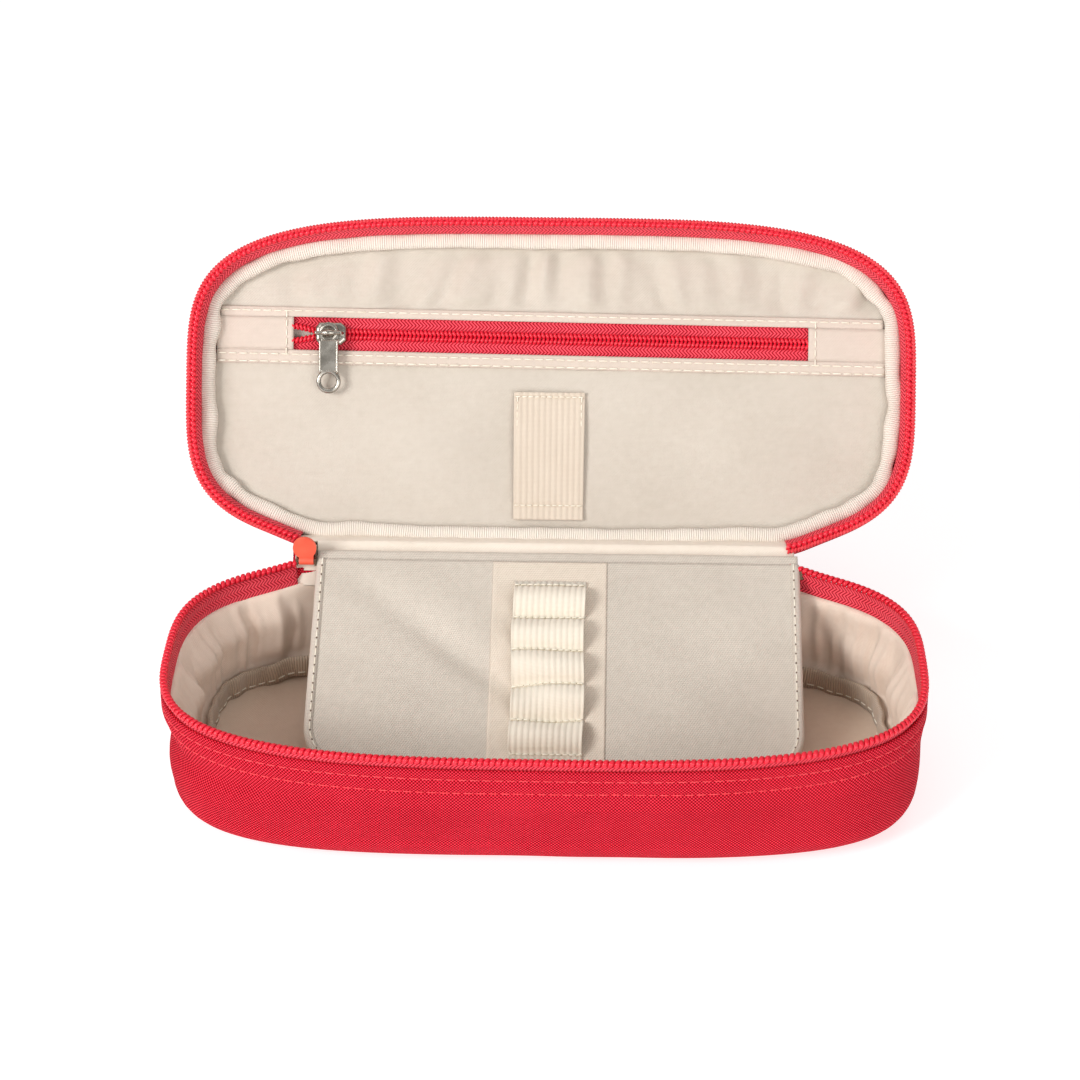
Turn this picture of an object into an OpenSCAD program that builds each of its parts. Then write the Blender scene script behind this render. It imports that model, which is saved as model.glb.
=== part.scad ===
// Zip-round first aid case of sewn fabric, lid open.
// The case stands on z = 0 with its hinge at the back (+Y). Lid parts are drawn lying level
// above the parting plane, and lid_pose() swings them open about the hinge line.

/* [Case] */
// Width of the case, left to right
case_w = 230; // [224:1:236]
// Depth of the case, front to back
case_d = 108; // [104:1:112]
// Radius of the four corners seen from above
corner_r = 48; // [46:1:50]
// Height of the tray at its hinge, from the table to the parting plane
base_h = 43; // [40:1:50]
// How far the tray's rim slopes down towards the front
rim_tilt = 2.6; // [0:0.2:4]
// Height of the lid above the parting plane
lid_h = 20; // [19.5:0.5:26]
// How far the lid stands open, from shut
lid_open = 122.6; // [100:0.2:150]

/* [Layers] */
// Thickness of the outer canvas
canvas_t = 1.2; // [1:0.1:1.2]
// Thickness of the foam between canvas and lining
foam_t = 2; // [1.8:0.1:2.1]
// Thickness of the lining cloth
lining_t = 0.6; // [0.4:0.1:0.7]
// Radius of the soft outer edge at the floor and at the lid's top
edge_r = 9; // [8.5:0.5:10]

/* [Main zip] */
// Diameter of each row of coil
coil_d = 2; // [1.6:0.1:2]
// Distance from the rim down to the canvas
canvas_drop = 4; // [3.5:0.5:5]
// Distance from the rim down to the lower edge of the zip's tape
tape_drop = 10; // [9:0.5:11]

/* [Divider flap] */
// Width of the flap
flap_w = 152; // [120:1:152]
// Length of the flap from its hinge to its free edge
flap_l = 76; // [60:1:77]
// Radius of the flap's free corners
flap_r = 16; // [8:1:20]
// How far the flap hangs below the horizontal
flap_drop = 28; // [24:1:28]
// Number of elastic loops
loop_count = 5; // [3:1:5]
// Distance from one loop to the next
loop_pitch = 12; // [11:0.5:12]
// Height of each loop above the flap
loop_rise = 4.5; // [3.5:0.5:4.5]
// Width of the elastic on the flap and in the lid
elastic_w = 22.4; // [18:0.2:26]

/* [Lid pocket] */
// Length of the pocket zip's window
window_l = 165.6; // [140:0.2:168]
// Height of the pocket zip's window
window_h = 10.6; // [9:0.2:12]
// Distance from the hinge edge to the middle of the pocket zip
window_v = 69.4; // [66:0.2:72]
// Where the pocket slider is parked, left of the lid's middle
slider_u = -71; // [-74:0.5:-60]

/* [Hidden] */
$fn = 64;
gap = 0.15;              // between pieces that only lie on each other
parting = base_h;
back_y = case_d / 2;
axis_y = back_y + 0.5;   // the lid swings about this line, on the parting plane
shell_t = canvas_t + foam_t + lining_t;
lining_drop = 8;         // from the rim down to the lining's edge

straight_x = case_w / 2 - corner_r;      // half the length of the straight front
straight_y = case_d / 2 - corner_r;      // half the length of the straight ends

tape_in = canvas_t + 0.5;    // the tape, clear of the canvas all the way down
tape_t = 0.7;
coil_in = 1.2;           // the coil's axis, in from the canvas face
coil_z = 1.2;            // the coil's axis, off the parting plane
hinge_left = -72.3;      // the cloth hinge lies between the two ends of the zip
hinge_right = 76;
zip_left = -80.6;        // the two ends of the zip, on the back corners
zip_right = 76.2;
slider_x = -76.1;        // middle of the main slider
slider_y = back_y - 0.9; // the back corner has begun to curve there
slider_l = 6.6;
pull_z = base_h - 0.6;   // the rubber pull turns on a bar at this height
pull_y = -3.8;           // and this far in from the slider's middle
pull_bar_r = 0.6;

flap_x = 3.5;
flap_y = back_y - 3.4;
flap_z = base_h - 0.8;
flap_start = 1.2;        // the cloth starts this far from the flap's hinge line
elastic_x = 1.2 - flap_x;
elastic_t = 1;
loops_from = 9.6;        // from the flap's hinge to the first loop
loop_z = 1.4;            // height of the elastic's underside over the flap's middle

panel_w = 10.4;          // depth of the pocket panel behind the lid's rim plane
ring_in = 4.2;           // the bound roll starts this far inside the canvas face
ring_w = 5;
ring_t = 3.6;
panel_in = ring_in + ring_w + gap;
chain_gap = 0.8;         // slit between the two rows of the pocket zip's coil
chain_r = 0.8;
bar_w = 4.3;             // depth of the slider's bridge bar behind the rim plane
plate_w = 8.3;           // depth of the slider's top plate
tab_tilt = 5;            // the tab's lower end leans towards the panel

red = [0.86, 0.1, 0.19];
zip_red = [0.9, 0.06, 0.18];
cream = [0.91, 0.86, 0.78];
ivory = [0.93, 0.89, 0.8];
foam_grey = [0.8, 0.8, 0.78];
nickel = [0.72, 0.7, 0.66];
orange = [1, 0.36, 0.25];

// ---- outlines and sweeps -------------------------------------------------------------

// The case's outline seen from above, moved in by inset.
module outline(inset = 0) {
    w = case_w - 2 * inset;
    d = case_d - 2 * inset;
    r = corner_r - inset;
    square([2 * straight_x, d], center = true);
    square([w, 2 * straight_y], center = true);
    for (sx = [-1, 1], sy = [-1, 1])
        translate([sx * straight_x, sy * straight_y]) circle(r);
}

// Carries a profile, drawn as [distance in from the canvas face, height], round the case.
module round_case() {
    union() {
        for (turn = [0 : 3])
            translate([(turn == 0 || turn == 3 ? 1 : -1) * straight_x,
                       (turn < 2 ? 1 : -1) * straight_y, 0])
                rotate([0, 0, turn * 90])
                    rotate_extrude(angle = 90)
                        translate([corner_r, 0]) mirror([1, 0]) children();
        for (side = [0, 1])
            mirror([0, side, 0]) translate([-straight_x, -back_y, 0])
                rotate([90, 0, 90]) linear_extrude(2 * straight_x) children();
        for (side = [0, 1])
            mirror([side, 0, 0]) translate([-case_w / 2, straight_y, 0])
                rotate([90, 0, 0]) linear_extrude(2 * straight_y) children();
    }
}

// Carries a profile from one end of the main zip round to the other.
module round_zip() {
    difference() {
        round_case() children();
        translate([zip_left, 0, -lid_h]) cube([zip_right - zip_left, case_d, 2 * lid_h]);
    }
}

// Everything further in than inset, above the rounded floor edge and below top.
module inside_of(inset, top) {
    r = edge_r - inset;
    translate([inset + r, inset]) square([20, top - inset]);
    translate([inset, inset + r]) square([20, top - inset - r]);
    translate([inset + r, inset + r]) circle(r);
}

// A wall layer from one inset to another with its rounded lower edge, up to top.
module wall_layer(from, to, top) {
    intersection() {
        difference() {
            inside_of(from, top);
            inside_of(to, top + 1);
        }
        square([edge_r, top]);
    }
}

// A flat layer of the floor between two heights.
module floor_layer(z0, z1) {
    translate([0, 0, z0]) linear_extrude(z1 - z0) outline(edge_r + gap);
}

// Turns pieces about the hinge line.
module about_hinge(angle) {
    translate([0, axis_y, parting]) rotate([angle, 0, 0])
        translate([0, -axis_y, -parting]) children();
}

// Everything below the tray's sloping rim, lowered by drop.
module below_rim(drop) {
    reach = 2 * case_w;
    about_hinge(rim_tilt)
        translate([-reach / 2, -reach / 2, parting - drop - reach])
            cube([reach, reach, reach]);
}

// Turns tray-like pieces upside down so that they become lid pieces, lid shut.
module as_lid() {
    translate([0, 0, parting + lid_h]) mirror([0, 0, 1]) children();
}

// Swings pieces drawn with the lid level on the tray to where the open lid holds them.
module lid_pose() {
    about_hinge(rim_tilt - lid_open) children();
}

// A flat piece of the lid: x along the lid, y up from the hinge edge, from depth w0 to w1.
module lid_sheet(w0, w1) {
    translate([0, back_y, parting + w0]) mirror([0, 1, 0])
        linear_extrude(w1 - w0) children();
}

// Moves pieces drawn as [along, up from the hinge edge, depth behind the rim plane].
module in_lid() {
    translate([0, back_y, parting]) mirror([0, 1, 0]) children();
}

// ---- tray ---------------------------------------------------------------------------

module base_bottom_panel() {
    color(red) floor_layer(0, canvas_t);
}

module base_side_band() {
    color(red) intersection() {
        round_case() wall_layer(0, canvas_t, base_h);
        below_rim(canvas_drop);
    }
}

module base_bottom_foam() {
    color(foam_grey) floor_layer(canvas_t + gap, canvas_t + foam_t);
}

module base_side_foam() {
    color(foam_grey) intersection() {
        round_case() wall_layer(canvas_t + gap, canvas_t + foam_t, base_h);
        below_rim(tape_drop + 0.3);
    }
}

module base_floor_lining() {
    color(cream) floor_layer(canvas_t + foam_t + gap, shell_t);
}

module base_side_lining() {
    color(cream) intersection() {
        round_case() wall_layer(canvas_t + foam_t + gap, shell_t, base_h);
        below_rim(lining_drop);
    }
}

// The bound seam allowance that stands up where wall and floor lining meet.
module base_seam_binding() {
    fold_t = 2;
    fold_h = 6.5;
    color(ivory) round_case()
        translate([edge_r - fold_t - 0.2, shell_t + 1.4]) square([fold_t, fold_h]);
}

module tape_profile() {
    top = coil_z + coil_d / 2 + gap;
    translate([tape_in, -tape_drop]) square([tape_t, tape_drop - top]);
}

module coil_profile() {
    translate([coil_in, -coil_z]) circle(coil_d / 2);
}

module base_zip_tape() {
    color(zip_red) about_hinge(rim_tilt) translate([0, 0, parting])
        round_zip() tape_profile();
}

module base_zip_coil() {
    color(zip_red) about_hinge(rim_tilt) translate([0, 0, parting])
        round_zip() coil_profile();
}

// One layer of the cloth hinge between two depths, z0 to z1 above the parting plane.
module hinge_layer(from, to, z0, z1) {
    translate([0, 0, parting]) intersection() {
        round_case() translate([from, z0]) square([to - from, z1 - z0]);
        translate([hinge_left, 0, -lid_h]) cube([hinge_right - hinge_left, case_d, 2 * lid_h]);
    }
}

module base_hinge_canvas() {
    color(red) hinge_layer(0, canvas_t, gap - canvas_drop, -0.5);
}

module base_hinge_lining() {
    color(ivory) hinge_layer(tape_in, tape_in + lining_t, -tape_drop, -0.5);
}

// The main slider: two plates over the ends of both coils, joined by a neck, and two lugs
// with the bar that its rubber pull turns on.
module main_slider_body() {
    plate_h = 7.6;
    plate_t = 0.9;
    lug_t = 0.7;
    color(nickel) translate([slider_x, slider_y, 0]) {
        for (y = [-2.1, 0.3])
            translate([-slider_l / 2, y, parting - plate_h / 2])
                cube([slider_l, plate_t, plate_h]);
        translate([-1, -1.5, parting - 1]) cube([2, 2.2, 2]);
        translate([-slider_l / 2 + 0.1, pull_y, pull_z]) rotate([0, 90, 0])
            cylinder(r = pull_bar_r, h = slider_l - 0.2);
        for (side = [-1, 1])
            translate([side * (slider_l - lug_t) / 2 - lug_t / 2, pull_y - 1.1, pull_z - 1.2])
                cube([lug_t, -1.5 - pull_y + 1.1, 2.4]);
    }
}

// The metal clip that closes the far end of the main zip.
module main_zip_end_stop() {
    clip_l = 3;
    color(nickel)
        translate([flap_x + flap_w / 2 + 0.4, back_y - 6.4, parting - 4.2])
            difference() {
                cube([clip_l, 1, 3]);
                translate([clip_l / 2 - 0.6, -1, 0.8]) cube([1.2, 4, 1.4]);
            }
}

// Round-ended rubber pull that stands up beside the flap over the ends of both coils. It is
// moulded round the slider's bar.
module main_pull_tag() {
    tag_t = 1.2;
    barrel_r = 1.3;
    barrel_l = slider_l - 2;
    color(orange) translate([slider_x, slider_y + pull_y, pull_z]) difference() {
        union() {
            rotate([0, 90, 0]) cylinder(r = barrel_r, h = barrel_l, center = true);
            translate([0, tag_t / 2, 0]) rotate([90, 0, 0]) linear_extrude(tag_t) {
                translate([-barrel_l / 2, 0]) square([barrel_l, 3]);
                translate([-0.4, 4.7]) circle(3.7);
            }
        }
        rotate([0, 90, 0])
            cylinder(r = pull_bar_r + 0.05, h = barrel_l + 1, center = true);
    }
}

// ---- lid shell ----------------------------------------------------------------------

module lid_top_panel() {
    color(red) lid_pose() as_lid() floor_layer(0, canvas_t);
}

module lid_side_band() {
    color(red) lid_pose() as_lid()
        round_case() wall_layer(0, canvas_t, lid_h - canvas_drop);
}

module lid_top_foam() {
    color(foam_grey) lid_pose() as_lid() floor_layer(canvas_t + gap, canvas_t + foam_t);
}

module lid_side_foam() {
    color(foam_grey) lid_pose() as_lid() round_case()
        wall_layer(canvas_t + gap, canvas_t + foam_t, lid_h - tape_drop - 0.3);
}

module lid_top_lining() {
    color(cream) lid_pose() as_lid() floor_layer(canvas_t + foam_t + gap, shell_t);
}

module lid_side_lining() {
    color(cream) lid_pose() as_lid() round_case()
        wall_layer(canvas_t + foam_t + gap, shell_t, lid_h - panel_w);
}

// Ribbon-covered roll sewn round the lid where zip, lining and pocket panel meet.
module lid_rim_binding() {
    half = ring_t / 2;
    color(ivory) lid_pose() as_lid() round_case()
        translate([ring_in, lid_h - panel_w - lining_t]) {
            translate([half, 0]) square([ring_w - ring_t, ring_t]);
            translate([half, half]) circle(half);
            translate([ring_w - half, half]) circle(half);
        }
}

module lid_zip_tape() {
    color(zip_red) lid_pose() translate([0, 0, parting]) mirror([0, 0, 1])
        round_zip() tape_profile();
}

module lid_zip_coil() {
    color(zip_red) lid_pose() translate([0, 0, parting]) mirror([0, 0, 1])
        round_zip() coil_profile();
}

module lid_hinge_canvas() {
    color(red) lid_pose() hinge_layer(0, canvas_t, 0.3, canvas_drop - gap);
}

module lid_hinge_lining() {
    color(ivory) lid_pose() hinge_layer(tape_in, tape_in + lining_t, 0.3, tape_drop - 0.3);
}

// ---- lid pocket ---------------------------------------------------------------------

// The pocket panel's outline, y up from the hinge edge.
module panel_outline() {
    translate([0, back_y]) outline(panel_in);
}

module pocket_upper_panel() {
    color(cream) lid_pose() lid_sheet(panel_w, panel_w + lining_t) intersection() {
        panel_outline();
        translate([-case_w / 2, window_v + window_h / 2]) square([case_w, case_d]);
    }
}

module pocket_lower_panel() {
    color(cream) lid_pose() lid_sheet(panel_w, panel_w + lining_t) intersection() {
        panel_outline();
        translate([-case_w / 2, 0]) square([case_w, window_v - window_h / 2]);
    }
}

// The two short pieces that fill the strip beside the window.
module pocket_end_patches() {
    color(cream) lid_pose() lid_sheet(panel_w, panel_w + lining_t) intersection() {
        panel_outline();
        for (side = [0, 1])
            mirror([side, 0])
                translate([window_l / 2, window_v - window_h / 2 + gap])
                    square([case_w, window_h - 2 * gap]);
    }
}

// One half of the pocket zip's tape; side is 1 above the slit and -1 below it.
module pocket_tape(side) {
    reach = window_h / 2 + 3;
    color(zip_red) lid_pose() lid_sheet(panel_w + lining_t + gap, panel_w + lining_t + 0.8)
        translate([-window_l / 2 - 4, window_v + (side > 0 ? chain_gap / 2 : -reach)])
            square([window_l + 8, reach - chain_gap / 2]);
}

module pocket_coil(side) {
    color(zip_red) lid_pose() in_lid()
        translate([-window_l / 2 + 0.5, window_v + side * (chain_gap / 2 + chain_r),
                   panel_w + lining_t + gap - chain_r - 0.05])
            rotate([0, 90, 0]) cylinder(r = chain_r, h = window_l - 1);
}

module pocket_upper_tape() { pocket_tape(1); }
module pocket_lower_tape() { pocket_tape(-1); }
module pocket_upper_coil() { pocket_coil(1); }
module pocket_lower_coil() { pocket_coil(-1); }

// Metal clips behind the panel at both ends of the pocket zip.
module pocket_zip_stops() {
    color(nickel) lid_pose() in_lid()
        for (side = [-1, 1])
            translate([side * (window_l / 2 + 2) - 0.8, window_v - 2.4,
                       panel_w + lining_t + 0.8 + gap])
                cube([1.6, 4.8, 0.8]);
}

module lid_elastic_strap() {
    color(ivory) lid_pose() lid_sheet(panel_w - elastic_t - 0.05, panel_w - 0.05)
        translate([-elastic_w / 2, 12.6]) square([elastic_w, 38.8]);
}

// Rows of thread across both ends of the strap.
module lid_strap_bartacks() {
    color(ivory) lid_pose() lid_sheet(panel_w - elastic_t - 0.5, panel_w - elastic_t - 0.05 - 0.05)
        for (v = [14, 49.4])
            translate([-elastic_w / 2 + 0.5, v]) square([elastic_w - 1, 0.8]);
}

// Slider plate seen from above: round shoulders and a narrower heel.
module slider_plate() {
    translate([-1, 0]) circle(3.5);
    translate([-1, -2.8]) square([5.6, 5.6]);
    translate([-3.4, -2.4]) square([3, 4.8]);
}

module pocket_slider_body() {
    bar_r = 0.6;
    bar_l = 7.8;
    color(nickel) lid_pose() in_lid() translate([slider_u, window_v, 0]) {
        translate([0, 0, plate_w]) linear_extrude(1.1) slider_plate();
        translate([0, 0, plate_w + 4]) linear_extrude(0.8) slider_plate();
        translate([-3.2, -0.25, plate_w + 0.5]) cube([2.4, 0.5, 4]);
        for (side = [-1, 1])
            translate([-1, side * 2.45 - 0.25, plate_w + 0.5]) cube([5.2, 0.5, 1.6]);
        translate([-bar_l / 2, 0, bar_w]) rotate([0, 90, 0]) cylinder(r = bar_r, h = bar_l);
        for (side = [-1, 1])
            translate([side * bar_l / 2, 0, bar_w]) {
                sphere(bar_r);
                cylinder(r = bar_r, h = plate_w + 0.3 - bar_w);
            }
    }
}

// Pull tab: an eye that holds the bridge, a flat stem and a round finger ring.
module pocket_pull_tab() {
    eye_v = 0.2;
    eye_r = 1.95;
    ring_v = -15.6;
    tab_t = 1.1;
    stem_w = 6.2;
    color(nickel) lid_pose() in_lid()
        translate([slider_u, window_v, bar_w]) rotate([-tab_tilt, 0, 0])
            translate([0, 0, 0.8]) linear_extrude(tab_t) difference() {
                union() {
                    translate([0, eye_v]) circle(3);
                    translate([-stem_w / 2, ring_v]) square([stem_w, eye_v - ring_v]);
                    translate([0, ring_v]) circle(3.8);
                }
                translate([0, eye_v]) circle(eye_r);
                translate([-eye_r, eye_v - 1.8]) square([2 * eye_r, 1.8]);
                translate([0, ring_v]) circle(2.55);
            }
}

// ---- divider flap -------------------------------------------------------------------

// Pieces of the flap are drawn flat, running towards -Y from its hinge, and then hung.
module flap_pose() {
    translate([flap_x, flap_y, flap_z]) rotate([flap_drop, 0, 0]) children();
}

module flap_outline(inset = 0) {
    w = flap_w - 2 * inset;
    l = flap_l - inset;
    top = flap_start + inset;
    translate([-w / 2, -l + flap_r]) square([w, l - flap_r - top]);
    translate([-w / 2 + flap_r, -l]) square([w - 2 * flap_r, flap_r + 1]);
    for (side = [-1, 1])
        translate([side * (w / 2 - flap_r), -l + flap_r]) circle(flap_r);
}

module flap_front_cloth() {
    color(cream) flap_pose() translate([0, 0, 0.5]) linear_extrude(0.5) flap_outline();
}

module flap_stiffener() {
    color(foam_grey) flap_pose() translate([0, 0, -0.45]) linear_extrude(0.9)
        flap_outline(5);
}

module flap_back_cloth() {
    color(cream) flap_pose() translate([0, 0, -1]) linear_extrude(0.5) flap_outline();
}

// Strip of cloth behind the loops that carries their stitching.
module flap_reinforcement() {
    color(cream) flap_pose() translate([elastic_x - 18, -flap_l + 2.5, 1.02])
        linear_extrude(0.3) square([36, flap_l - 5]);
}

// One elastic laid over the flap in arches, with flat runs where it is sewn down.
module flap_elastic_loops() {
    half = loop_pitch / 2 - 0.8;
    r = (half * half + loop_rise * loop_rise) / (2 * loop_rise);
    color(ivory) flap_pose()
        translate([elastic_x - elastic_w / 2, -loops_from, loop_z])
            rotate([90, 0, 90]) linear_extrude(elastic_w) mirror([1, 0]) {
                for (i = [0 : loop_count - 1])
                    translate([(i + 0.5) * loop_pitch, 0]) intersection() {
                        translate([0, loop_rise - r]) difference() {
                            circle(r);
                            circle(r - elastic_t);
                        }
                        translate([-half, 0]) square([2 * half, loop_rise + 1]);
                    }
                for (i = [0 : loop_count])
                    translate([i * loop_pitch - 1, 0]) square([2, elastic_t]);
            }
}

// Thread rows across the elastic between the loops.
module flap_loop_bartacks() {
    color(ivory) flap_pose()
        for (i = [0 : loop_count])
            translate([elastic_x - elastic_w / 2 + 0.4, -loops_from - i * loop_pitch - 0.3,
                       loop_z + elastic_t + 0.03])
                cube([elastic_w - 0.8, 0.6, 0.3]);
}

// ---- build --------------------------------------------------------------------------

base_bottom_panel();
base_side_band();
base_bottom_foam();
base_side_foam();
base_floor_lining();
base_side_lining();
base_seam_binding();
base_zip_tape();
base_zip_coil();
base_hinge_canvas();
base_hinge_lining();
main_slider_body();
main_zip_end_stop();
main_pull_tag();
lid_top_panel();
lid_side_band();
lid_top_foam();
lid_side_foam();
lid_top_lining();
lid_side_lining();
lid_rim_binding();
lid_zip_tape();
lid_zip_coil();
lid_hinge_canvas();
lid_hinge_lining();
pocket_upper_panel();
pocket_lower_panel();
pocket_end_patches();
pocket_upper_tape();
pocket_lower_tape();
pocket_upper_coil();
pocket_lower_coil();
pocket_zip_stops();
lid_elastic_strap();
lid_strap_bartacks();
pocket_slider_body();
pocket_pull_tab();
flap_front_cloth();
flap_stiffener();
flap_back_cloth();
flap_reinforcement();
flap_elastic_loops();
flap_loop_bartacks();
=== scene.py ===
import math

import bmesh
import bpy
import numpy as np
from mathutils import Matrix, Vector


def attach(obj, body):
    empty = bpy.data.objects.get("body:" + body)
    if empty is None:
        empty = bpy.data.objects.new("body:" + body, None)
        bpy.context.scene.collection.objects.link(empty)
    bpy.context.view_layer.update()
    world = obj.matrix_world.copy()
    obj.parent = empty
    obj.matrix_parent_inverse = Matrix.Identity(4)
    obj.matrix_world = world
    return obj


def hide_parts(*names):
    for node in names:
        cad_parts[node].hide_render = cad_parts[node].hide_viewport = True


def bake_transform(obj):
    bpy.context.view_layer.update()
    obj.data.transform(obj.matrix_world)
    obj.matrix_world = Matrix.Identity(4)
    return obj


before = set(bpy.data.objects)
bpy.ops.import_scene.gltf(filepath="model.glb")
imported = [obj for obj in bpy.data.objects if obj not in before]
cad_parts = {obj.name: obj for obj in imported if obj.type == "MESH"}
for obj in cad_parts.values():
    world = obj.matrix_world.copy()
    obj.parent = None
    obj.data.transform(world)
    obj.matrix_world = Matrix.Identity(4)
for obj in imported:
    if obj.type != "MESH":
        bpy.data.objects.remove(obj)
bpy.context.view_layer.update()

MM = 0.001
AXIS_Y, AXIS_Z = 54.5, 43.0  # the lid's hinge line
RIM_TILT = math.tan(math.radians(2.6))
ZIP_LEFT, ZIP_RIGHT = -79.0, 76.0  # the ends of the main zip on the back corners


# ---- small helpers -------------------------------------------------------------------


def linear(r, g, b):
    """A colour given as 0-255 display values, as linear light."""
    out = []
    for c in (r, g, b):
        c /= 255
        out.append(c / 12.92 if c <= 0.04045 else ((c + 0.055) / 1.055) ** 2.4)
    return (*out, 1.0)


def smooth(t):
    t = np.clip(t, 0, 1)
    return t * t * (3 - 2 * t)


def bell(x, centre, width):
    return np.exp(-(((x - centre) / width) ** 2))


def ripple(x, y, seed, size, stretch=1.0):
    """Smooth irregular waves of about that size, from -1 to 1, longer along y by stretch."""
    rng = np.random.default_rng(seed)
    total = 0.0
    for _ in range(7):
        turn = rng.uniform(0, math.pi)
        step = rng.uniform(0.6, 1.7) * 2 * math.pi / size
        total = total + np.sin(
            step * (np.cos(turn) * x + np.sin(turn) * y / stretch) + rng.uniform(0, 6.28)
        )
    return total / 4.5


# ---- materials -----------------------------------------------------------------------


class Shader:
    """A Principled material and short ways to chain nodes for it."""

    def __init__(self, name, colour, roughness, **sockets):
        self.material = bpy.data.materials.new(name)
        self.material.use_nodes = True
        self.tree = self.material.node_tree
        self.bsdf = self.tree.nodes["Principled BSDF"]
        self.bsdf.inputs["Base Color"].default_value = colour
        self.bsdf.inputs["Roughness"].default_value = roughness
        for key, value in sockets.items():
            self.bsdf.inputs[key.replace("_", " ")].default_value = value

    def put(self, socket, value):
        if isinstance(value, bpy.types.NodeSocket):
            self.tree.links.new(value, socket)
        else:
            socket.default_value = value

    def node(self, kind, inputs=(), **settings):
        made = self.tree.nodes.new(kind)
        for key, value in settings.items():
            setattr(made, key, value)
        for key, value in dict(inputs).items():
            self.put(made.inputs[key], value)
        return made

    def math(self, operation, *values):
        made = self.node("ShaderNodeMath", operation=operation)
        for i, value in enumerate(values):
            self.put(made.inputs[i], value)
        return made.outputs[0]

    def uv(self):
        split = self.node("ShaderNodeSeparateXYZ")
        self.put(split.inputs[0], self.node("ShaderNodeTexCoord").outputs["UV"])
        return split.outputs[0], split.outputs[1]

    def noise(self, scale, detail=3.0, uv=True):
        place = self.node("ShaderNodeTexCoord").outputs["UV" if uv else "Object"]
        made = self.node("ShaderNodeTexNoise", {"Scale": scale, "Detail": detail, "Vector": place})
        return made.outputs["Fac"]

    def ramp(self, value, stops):
        made = self.node("ShaderNodeValToRGB")
        self.put(made.inputs[0], value)
        while len(made.color_ramp.elements) < len(stops):
            made.color_ramp.elements.new(0.5)
        for element, (at, colour) in zip(made.color_ramp.elements, stops):
            element.position, element.color = at, linear(*colour)
        return made.outputs["Color"]

    def tones(self, value, stops):
        """Colour the material by a ramp: stops are places with 0-255 display colours."""
        self.put(self.bsdf.inputs["Base Color"], self.ramp(value, stops))

    def bump(self, height, distance, strength=1.0):
        made = self.node("ShaderNodeBump", {"Distance": distance, "Strength": strength})
        self.put(made.inputs["Height"], height)
        self.put(self.bsdf.inputs["Normal"], made.outputs[0])

    def threads(self, pitch_u, pitch_v, wobble=0.12):
        """A plain weave: the height of rounded thread crossings over (u, v)."""
        u, v = self.uv()
        drift = self.math("MULTIPLY", self.noise(260.0, 2.0), wobble * pitch_u * 4)
        across = self.math("SINE", self.math("MULTIPLY", self.math("ADD", u, drift), math.pi / pitch_u))
        along = self.math("SINE", self.math("MULTIPLY", self.math("ADD", v, drift), math.pi / pitch_v))
        dots = self.math("MULTIPLY", self.math("ABSOLUTE", across), self.math("ABSOLUTE", along))
        over = self.math("MULTIPLY", across, along)
        return dots, over


def canvas_material():
    s = Shader("red_canvas", linear(221, 41, 63), 0.85, Specular_IOR_Level=0.12)
    _, over = s.threads(0.00053, 0.00053)
    patch = s.math("MULTIPLY", s.noise(45.0), 0.24)
    grain = s.math("MULTIPLY", s.noise(900.0, 2.0), 0.2)
    tone = s.math("ADD", s.math("MULTIPLY_ADD", over, 0.75, 0.28), s.math("ADD", patch, grain))
    s.tones(tone, [(0.0, (112, 0, 6)), (0.35, (204, 0, 30)), (0.6, (240, 8, 44)), (0.98, (255, 78, 98))])
    s.bump(over, 0.0003, 1.0)
    return s.material


def tape_material():
    """Narrow woven tape with a herringbone: slanted ribs that turn over every 1.5 mm."""
    s = Shader("red_zip_tape", linear(226, 40, 60), 0.62, Sheen_Weight=0.05, Specular_IOR_Level=0.3)
    u, v = s.uv()
    fold = s.math("PINGPONG", v, 0.0015)
    slant = s.math("ADD", u, s.math("MULTIPLY", fold, 1.0))
    rib = s.math("ABSOLUTE", s.math("SINE", s.math("MULTIPLY", slant, math.pi / 0.00115)))
    tone = s.math("ADD", s.math("MULTIPLY", rib, 0.75), s.math("MULTIPLY", s.noise(60.0), 0.25))
    s.tones(tone, [(0.12, (140, 0, 16)), (0.5, (234, 28, 54)), (0.9, (255, 92, 108))])
    s.bump(rib, 0.0003, 1.0)
    return s.material


def coil_material():
    s = Shader("red_zip_coil", linear(210, 20, 44), 0.36, Coat_Weight=0.1, Coat_Roughness=0.2)
    s.tones(s.noise(900.0, 2.0, uv=False), [(0.2, (218, 12, 40)), (0.8, (242, 32, 58))])
    s.bump(s.noise(2500.0, 2.0, uv=False), 0.00005, 0.5)
    return s.material


def red_thread_material():
    s = Shader("red_thread", linear(238, 78, 84), 0.55)
    u, _ = s.uv()
    s.bump(s.math("SINE", s.math("MULTIPLY", u, 9000.0)), 0.00008, 0.6)
    s.tones(s.noise(400.0, 2.0, uv=False), [(0.2, (222, 40, 54)), (0.8, (244, 76, 84))])
    return s.material


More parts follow.
